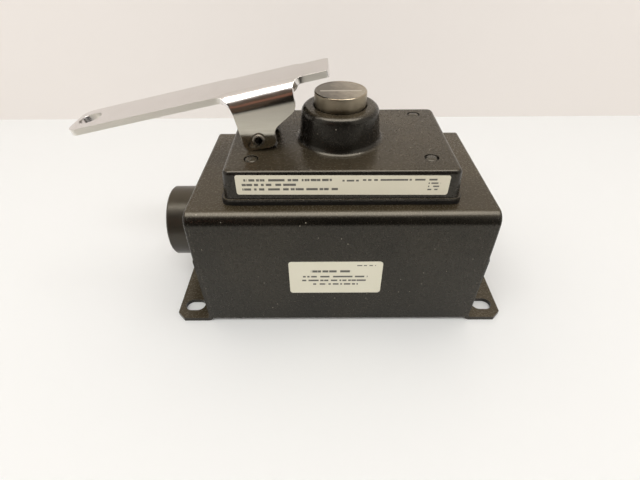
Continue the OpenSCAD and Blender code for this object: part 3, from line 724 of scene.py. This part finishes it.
# %% Thread
pitch = 25.4 / 11.5
turns, turn_steps, head_start = 14, 48, 2.5
minor, major = 15.1, 16.6
tooth = [(0.0, minor), (0.25, minor), (1.0, major), (1.3, major), (pitch, minor)]
thread = bmesh.new()
rows = [thread.verts.new(hub_point(along - head_start, radius)) for along, radius in tooth]
edges = [thread.edges.new(pair) for pair in zip(rows, rows[1:])]
bmesh.ops.spin(thread, geom=rows + edges, cent=hub_axis, axis=(1, 0, 0),
               dvec=(-pitch / turn_steps, 0, 0), angle=2 * math.pi * turns,
               steps=turns * turn_steps, use_merge=False, use_duplicate=False)
bmesh.ops.remove_doubles(thread, verts=thread.verts[:], dist=0.01)
for along, clear in ((0.0, 1), (thread_end, -1)):
    score(thread, hub_point(along, 0), (clear, 0, 0), clear_outer=True)

def merge_into(mesh, other):
    carried = bpy.data.meshes.new("carried")
    other.to_mesh(carried)
    other.free()
    mesh.from_mesh(carried)
    bpy.data.meshes.remove(carried)

merge_into(hub, thread)
for along in (0.0, thread_end):
    x = hub_point(along, 0)[0]
    rims = [e for e in hub.edges if e.is_boundary and all(abs(v.co.x - x) < 0.01 for v in e.verts)]
    bmesh.ops.triangle_fill(hub, edges=rims, use_beauty=True)
bmesh.ops.remove_doubles(hub, verts=hub.verts[:], dist=0.0005)
bmesh.ops.recalc_face_normals(hub, faces=hub.faces[:])
print("hub faces:", len(hub.faces), "open edges:", len([e for e in hub.edges if e.is_boundary]))
smooth(piece_from(hub, "threaded_hub", "hub_paint", "enclosure", "conduit_hub"), 35)

# %% [markdown]
# ## The push button
#
# The button is turned from bar and plated. Its rim is rolled over a little and its flat face lies
# a hair below it, and that small step catches the light in a thin ring. A lathe profile with a few
# more steps than the solid model holds both.

# %% Button
button_radius, roll, crown_z, face_z = 13.5, 0.7, 122.4, 122.3
cup_radius, cup_foot, cup_roof, foot_bevel = 10.0, 104.4, 114.4, 0.5
stem_radius, stem_top, rim_foot, rim_inner, face_radius = 4.0, 119.2, 119.6, 12.3, 12.15
button = bmesh.new()
rim = [(button_radius - roll * (1 - math.cos(a)), crown_z - roll + roll * math.sin(a))
       for a in quarter_turn]
profile = [(0, stem_top), (stem_radius, stem_top), (stem_radius, cup_roof), (cup_radius, cup_roof),
           (cup_radius, cup_foot), (button_radius - foot_bevel, cup_foot),
           (button_radius, cup_foot + foot_bevel), (button_radius, rim_foot)] + rim + [
           (rim_inner, crown_z), (face_radius, face_z), (0, face_z)]
lathe(button, [(radius, 0, z) for radius, z in profile], (0, 0, 0), (0, 0, 1), 96)
bmesh.ops.recalc_face_normals(button, faces=button.faces[:])
print("button faces:", len(button.faces))
smooth(piece_from(button, "push_button", "button_nickel", "plunger", "button"), 28)

# %% [markdown]
# The lever's tongue lands on one side of the button's face, and painted shade darkens that side.
# The button's side is brown, and darker towards the bottom, where painted shade stands for the
# collar's bore. Both are masks of place, broken up by noise, that mix a brown into the nickel. A
# thin pale line across the face is a painted highlight, and a film of oil, made as a thin coat,
# gives the two sharp spots of light.

# %% Button painted shade and painted highlight line
tree, shader, nickel, nickel_rough = reopen("button_nickel")
spot = axes(tree, object_place(tree))
upward = axes(tree, true_normal(tree))["Z"]
on_side = ramp(tree, upward, 0.75, 0.2)
on_face = maths(tree, "SUBTRACT", 1.0, on_side)
shift = ramp(tree, noise(tree, 260.0, 5.0), 0.3, 0.7, -0.004, 0.004)
# painted shade: the side of the face under the tongue is darkened in the base colour
left_painted_shade = ramp(tree, maths(tree, "ADD", spot["X"], shift), 0.009, -0.006, 0.0, 0.9)
face_painted_shade = maths(tree, "MULTIPLY", left_painted_shade, on_face)
# a brown tint on the side, made darker towards the bottom as painted shade of the collar's bore
side_brown_and_shade = ramp(tree, spot["Z"], 0.1215, 0.1145, 0.30, 0.62)
side_tint_and_shade = maths(tree, "MULTIPLY", on_side, side_brown_and_shade)
stain_and_painted_shade = maths(tree, "MAXIMUM", face_painted_shade, side_tint_and_shade)
browned_and_shaded = blend_colour(tree, stain_and_painted_shade, nickel, (0.06, 0.042, 0.020))
# a thin pale line across the face: a painted highlight, the reflection of a line of light
highlight_line_y, highlight_line_half_length, line_edge, line_core = -0.0012, 0.0105, 0.0007, 0.0004
off_line = maths(tree, "ABSOLUTE", maths(tree, "ADD", spot["Y"], -highlight_line_y))
line = ramp(tree, off_line, line_edge, line_core, 0.0, 0.8)
within = maths(tree, "LESS_THAN", maths(tree, "ABSOLUTE", spot["X"]), highlight_line_half_length)
painted_highlight_line = maths(tree, "MULTIPLY", maths(tree, "MULTIPLY", line, within), upward, clamp=True)
tree.links.new(blend_colour(tree, painted_highlight_line, browned_and_shaded, (0.80, 0.76, 0.66)),
               shader.inputs["Base Color"])
dulled = maths(tree, "MULTIPLY", on_side, 0.28)
tree.links.new(maths(tree, "ADD", nickel_rough, dulled), shader.inputs["Roughness"])
tree.links.new(maths(tree, "MULTIPLY", on_face, 0.6), shader.inputs["Coat Weight"])
shader.inputs["Coat Roughness"].default_value = 0.0
print("button stained")

# %% [markdown]
# ## The springs
#
# The two coil springs close up when the button goes down. A small circle that is spun while it
# rises makes the wire. Each spring reaches from the bottom to the top of its node in the frame,
# from its fixed seat up to the piece that presses it.

# %% Springs
stroke, coil_steps = 6.0, 36

def coil(name, node, radius, wire, turns):
    low, high = (corner.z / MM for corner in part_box(node))
    mesh = bmesh.new()
    section = bmesh.ops.create_circle(mesh, cap_ends=False, radius=wire / 2, segments=10)["verts"]
    bmesh.ops.rotate(mesh, verts=section, cent=(0, 0, 0),
                     matrix=Matrix.Rotation(math.pi / 2, 3, "X"))
    bmesh.ops.translate(mesh, verts=section, vec=(radius, 0, low + wire / 2))
    closed = 1.04 * wire
    rise = (high - low - wire - 2 * closed) / (turns - 2)
    loop = list({e for v in section for e in v.link_edges})
    first = loop
    for share, lift in ((1, closed), (turns - 2, rise * (turns - 2)), (1, closed)):
        count = coil_steps * share
        made = bmesh.ops.spin(mesh, geom=loop, cent=(0, 0, 0), axis=(0, 0, 1),
                              dvec=(0, 0, lift / count), angle=2 * math.pi * share,
                              steps=count, use_merge=False, use_duplicate=False)
        loop = [item for item in made["geom_last"] if isinstance(item, bmesh.types.BMEdge)]
    for end in (first, loop):
        bmesh.ops.edgeloop_fill(mesh, edges=[e for e in end if e.is_valid])
    bmesh.ops.remove_doubles(mesh, verts=mesh.verts[:], dist=0.0005)
    bmesh.ops.recalc_face_normals(mesh, faces=mesh.faces[:])
    spring = piece_from(mesh, name, "spring_steel", "enclosure", node)
    smooth(spring, 60)
    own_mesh(spring)
    print(name, "from", round(low, 1), "to", round(high, 1), "mm")

coil("plunger_spring", "return_spring", 8.0, 1.3, 7)
coil("contact_spring", "carrier_spring", 3.2, 0.8, 6)

# %% [markdown]
# ## The folded box and the drafted cover
#
# Some shapes need a little more than the plain solid. The top front edge of the box is folded over
# a rounder tool than the one at the back, and the sheet springs back a little above the label. The
# end panels lean outwards a little where they were welded, and their rims are ground round. The
# cover is a casting, so its ends slope outwards towards the gasket to leave the mould. Each is a
# merged copy of its node, and only a few of its vertices move.

# %% Where the vertices go
box_low, box_high = (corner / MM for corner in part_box("enclosure_shell"))
cover_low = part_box("cover")[0] / MM
panel_sheet, cad_radius, tool_radius = 2.5, 4.0, 6.2
lean, lean_from, lean_power, front_depth = 1.75, 50.0, 1.4, 7.0
right_flare, left_flare, flare_from = 2.1, 1.7, 8.0
cover_top, draft, cover_end_x = 97.0, 1.3, 54.0
gasket_growth, gasket_end_x = 1.9, 56.5

def rounder_fold(co):
    inset, drop = co.y - box_low.y, box_high.z - co.z
    if max(inset, drop) < cad_radius + 0.01:
        away = Vector((cad_radius - inset, cad_radius - drop))
        away = away.normalized() * (away.length + tool_radius - cad_radius)
        co.y = box_low.y + tool_radius - away.x
        co.z = box_high.z - tool_radius + away.y
    if co.y < box_low.y + front_depth:
        co.y += lean * (max(0.0, co.z - lean_from) / (box_high.z - lean_from)) ** lean_power
    if abs(co.x) > box_high.x - 0.1:
        to_front = (box_high.y - co.y) / (box_high.y - box_low.y)
        flare = right_flare if co.x > 0 else left_flare * to_front
        climb = max(0.0, co.z - flare_from) / (box_high.z - flare_from)
        co.x += math.copysign(flare * climb, co.x)

def cast_draft(co):
    if abs(co.x) > cover_end_x and co.z < cover_top:
        slope = draft * (cover_top - co.z) / (cover_top - cover_low.z)
        co.x += math.copysign(slope, co.x)

def wider_gasket(co):
    if abs(co.x) > gasket_end_x:
        co.x += math.copysign(gasket_growth, co.x)

print("box front leans", lean, "mm, cover draft", draft, "mm")

# %% [markdown]
# The frame's own meshes stay as they are. In a copy, doubled vertices are merged and flat faces
# are joined up. A sheet can only bend where it has vertices, so the box is also cut at a few
# levels. The vertices move, and then a bevel rounds the rims of the end panels.

# %% Reshape merged copies
lean_levels = [lean_from + 4.0 * step for step in range(6)]
box_end = box_high.x + panel_sheet
rim_reach, over_flange, near_side, near_top = 3.0, 5.0, 42.0, 70.0

def at_rim(vert):
    x, y, z = abs(vert.co.x), abs(vert.co.y), vert.co.z
    on_end = box_end - 0.01 < x < box_end + rim_reach and z > over_flange
    return on_end and (y > near_side or z > near_top)

def reshaped(node_name, name, finish, move, levels=(), rounding=0.0):
    mesh = bmesh.new()
    mesh.from_mesh(frame["nodes"][node_name].data)
    bmesh.ops.remove_doubles(mesh, verts=mesh.verts[:], dist=0.000001)
    bmesh.ops.dissolve_limit(mesh, angle_limit=math.radians(0.2), verts=mesh.verts[:],
                             edges=mesh.edges[:], delimit={"NORMAL"})
    bmesh.ops.scale(mesh, vec=(1 / MM, 1 / MM, 1 / MM), verts=mesh.verts[:])
    for level in levels:
        score(mesh, (0, 0, level), (0, 0, 1))
    for vert in mesh.verts:
        move(vert.co)
    if rounding:
        rim = [e for e in mesh.edges if e.is_manifold and e.calc_face_angle() > 0.6
               and all(at_rim(v) for v in e.verts)]
        bmesh.ops.bevel(mesh, geom=rim, offset=rounding, offset_type="OFFSET", segments=5,
                        profile=0.5, affect="EDGES", material=-1, clamp_overlap=False)
        bmesh.ops.remove_doubles(mesh, verts=mesh.verts[:], dist=0.001)
        bmesh.ops.recalc_face_normals(mesh, faces=mesh.faces[:])
    piece = piece_from(mesh, name, finish, "enclosure", node_name)
    smooth(piece, 25)
    piece.modifiers.new("flat_faces", "WEIGHTED_NORMAL").keep_sharp = True
    print(name, "vertices:", len(piece.data.vertices))

reshaped("enclosure_shell", "folded_shell", "box_paint", rounder_fold, lean_levels)
for side in ("left", "right"):
    reshaped(side + "_end_panel", side + "_panel", "box_paint", rounder_fold, lean_levels, 1.4)
reshaped("cover", "cast_cover", "cover_paint", cast_draft)
reshaped("cover_gasket", "wide_gasket", "gasket_rubber", wider_gasket)

# %% [markdown]
# ## The cover screws
#
# Four screws hold the cover. Their heads are level with its face, low domes with a shallow
# slot, and a dark gap shows round each one. A lathe makes the shank and the dome. Two cuts mark
# the slot on it, and the faces between them are pushed down.

# %% Screws
low, high = (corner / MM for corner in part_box("cover_screws"))
counterbore, head_radius, shank_radius, tip_radius, tip = 3.35, 3.15, 2.1, 1.5, 0.6
screw_half_x = (high.x - low.x) / 2 - counterbore
screw_rows = (low.y + counterbore, high.y - counterbore)
head_seat, dome_foot, dome_rise = 94.0, cover_top - 0.45, 0.6
slot_half, slot_reach, slot_depth, slot_turn = 0.5, 2.86, 0.45, -60
dome = [(head_radius * math.cos(a), dome_foot + dome_rise * math.sin(a))
        for a in quarter_turn[:-1]]
profile = [(0, low.z), (tip_radius, low.z), (shank_radius, low.z + tip), (shank_radius, head_seat),
           (head_radius, head_seat)] + dome + [(0, cover_top + 0.15)]

def in_slot(face):
    middle = face.calc_center_median()
    return (middle.z > cover_top - 0.3 and abs(middle.x) < slot_half - 0.01
            and middle.xy.length < slot_reach)

screws = bmesh.new()
for x in (-screw_half_x, screw_half_x):
    for y in screw_rows:
        one = bmesh.new()
        lathe(one, [(radius, 0, z) for radius, z in profile], (0, 0, 0), (0, 0, 1), 40)
        for side in (-1, 1):
            score(one, (side * slot_half, 0, 0), (side, 0, 0))
        sunk = bmesh.ops.extrude_face_region(one, geom=[f for f in one.faces if in_slot(f)])
        bmesh.ops.translate(one, vec=(0, 0, -slot_depth), verts=[
            v for v in sunk["geom"] if isinstance(v, bmesh.types.BMVert)])
        bmesh.ops.recalc_face_normals(one, faces=one.faces[:])
        bmesh.ops.rotate(one, verts=one.verts[:], cent=(0, 0, 0), matrix=Matrix.Rotation(
            math.radians(slot_turn + 7 * x * y / 200), 3, "Z"))
        bmesh.ops.translate(one, verts=one.verts[:], vec=(x, y, 0))
        merge_into(screws, one)
smooth(piece_from(screws, "flush_screws", "dark_screw", "enclosure", "cover_screws"), 40)
print("screws at x", round(screw_half_x, 1), "rows", [round(y, 1) for y in screw_rows])

# %% [markdown]
# ## The labels
#
# Two pale labels are stuck to the front. They carry no wording: only rows of plain dark bars, the
# way a printer's dummy stands for text. Each row is a window in x and z on the label. Inside it a
# noise along x breaks the bar into pieces of different lengths.

# %% Group: print row
row_group, given, result = open_group(
    "print_row", [("Left", 0.0), ("Right", 0.01), ("Low", 0.0), ("High", 0.002), ("Seed", 0.0)],
    [("Mask", "Float")])
spot = axes(row_group, object_place(row_group))

def between(tree, value, low_end, high_end):
    above = maths(tree, "GREATER_THAN", value, low_end)
    below = maths(tree, "LESS_THAN", value, high_end)
    return maths(tree, "MULTIPLY", above, below)

across = between(row_group, spot["X"], given["Left"], given["Right"])
up_down = between(row_group, spot["Z"], given["Low"], given["High"])
seeded = maths(row_group, "ADD", spot["X"], given["Seed"])
breaks = place(row_group, "TexNoise", {"W": seeded, "Scale": 420.0, "Detail": 1.0},
               noise_dimensions="1D")
bars = ramp(row_group, breaks.outputs["Fac"], 0.43, 0.46)
window = maths(row_group, "MULTIPLY", across, up_down)
row_group.links.new(maths(row_group, "MULTIPLY", window, bars), result["Mask"])
print("group:", row_group.name)

# %% [markdown]
# Each label takes a table of rows: from and to along the label, how far below its top edge, and
# how tall, all in millimetres. The greatest of all the rows' masks is the ink.

# %% Print the labels
def printed_label(name, node_name, colour, light, rows):
    moulded(name, colour, light, 0.42, 500.0, 0.000006, 0.4, 0.0001)
    tree, shader, stock, _ = reopen(name)
    left, top_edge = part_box(node_name)[0].x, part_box(node_name)[1].z
    ink = None
    for number, (start, end, down, height) in enumerate(rows):
        mask = place_group(tree, row_group, left=left + start * MM, right=left + end * MM,
                           low=top_edge - (down + height) * MM, high=top_edge - down * MM,
                           seed=0.137 * number)["Mask"]
        ink = mask if ink is None else maths(tree, "MAXIMUM", ink, mask)
    faded = maths(tree, "MULTIPLY", ink, 0.90)
    tree.links.new(blend_colour(tree, faded, stock, (0.05, 0.048, 0.045)),
                   shader.inputs["Base Color"])
    for slot in frame["nodes"][node_name].material_slots:
        slot.material = finishes[name]

printed_label("cover_label_print", "cover_label", (0.60, 0.56, 0.44), (0.66, 0.62, 0.50), [
    (3.0, 47.0, 2.2, 1.3), (3.0, 31.0, 4.8, 1.3), (3.0, 50.0, 7.4, 1.3), (52.0, 60.0, 2.8, 1.0),
    (62.0, 99.0, 2.5, 1.0), (94.0, 100.0, 4.6, 0.8), (94.0, 100.0, 6.4, 0.8),
    (94.0, 99.0, 8.2, 0.8)])
printed_label("box_label_print", "enclosure_label", (0.68, 0.65, 0.52), (0.73, 0.70, 0.58), [
    (12.0, 34.0, 6.2, 1.6), (7.0, 43.0, 10.4, 1.2), (7.0, 43.0, 13.3, 1.2),
    (13.0, 38.0, 16.2, 1.2), (36.0, 47.0, 2.4, 0.7)])
print("labels printed")
